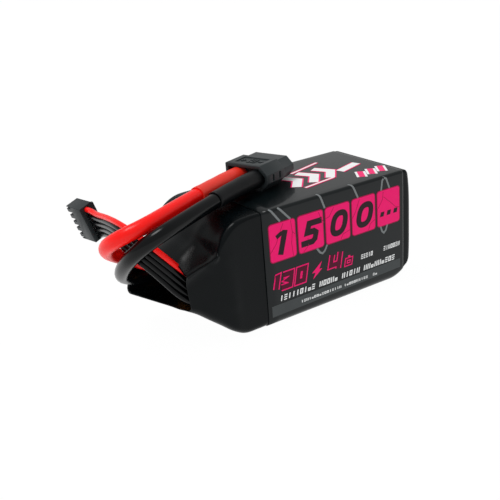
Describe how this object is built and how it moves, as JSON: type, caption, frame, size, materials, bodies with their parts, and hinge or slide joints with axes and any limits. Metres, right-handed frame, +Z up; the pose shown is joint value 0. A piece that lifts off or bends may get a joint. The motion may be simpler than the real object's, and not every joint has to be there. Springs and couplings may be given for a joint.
{
  "type": "lipo battery pack",
  "caption": "Block-shaped lithium-polymer pack in a shrink sleeve with a printed wrap, main leads to a keyed power connector and a flat balance lead.",
  "frame": {"origin": "middle of the base of the wrapped pack, without its leads", "axes": "+X towards the closed end of the pack, -X to the wire mouth, +Z up"},
  "size_m": [0.1004, 0.06, 0.0451],
  "materials": {
    "sleeve": "satin shrink film",
    "label": "clear-coated print",
    "pouch": "laminated foil, satin",
    "pad": "foam",
    "tab_plus": "rolled strip",
    "tab_minus": "nickel-plated strip",
    "board": "glass-filled board",
    "paper": "fibre insulating paper",
    "tape": "polyimide film",
    "foam": "closed-cell foam",
    "endboard": "fibre board",
    "solder": "bright tin",
    "red_silicone": "soft silicone",
    "black_silicone": "soft silicone",
    "red_shrink": "shrink tube",
    "black_shrink": "shrink tube",
    "nylon": "moulded, fine texture",
    "gold": "gold-plated",
    "tin": "tin-plated"
  },
  "bodies": {
    "root": {"balance_contacts": "tin", "balance_plug_housing": "nylon", "balance_solder_joints": "solder", "balance_wire_1": "red_silicone", "balance_wire_2": "black_silicone", "balance_wire_3": "black_silicone", "balance_wire_4": "black_silicone", "balance_wire_5": "black_silicone", "board_insulator": "paper", "cell_1": "pouch", "cell_2": "pouch", "cell_3": "pouch", "cell_4": "pouch", "cell_pad_1": "pad", "cell_pad_2": "pad", "cell_pad_3": "pad", "connector_housing": "nylon", "end_board": "endboard", "end_foam": "foam", "label_wrap": "label", "main_negative_wire": "black_silicone", "main_positive_wire": "red_silicone", "main_solder_joints": "solder", "negative_sleeve": "black_shrink", "negative_socket": "gold", "negative_tabs": "tab_minus", "positive_sleeve": "red_shrink", "positive_socket": "gold", "positive_tabs": "tab_plus", "shrink_sleeve": "sleeve", "tab_board": "board", "tab_tape": "tape"}
  },
  "joints": []
}
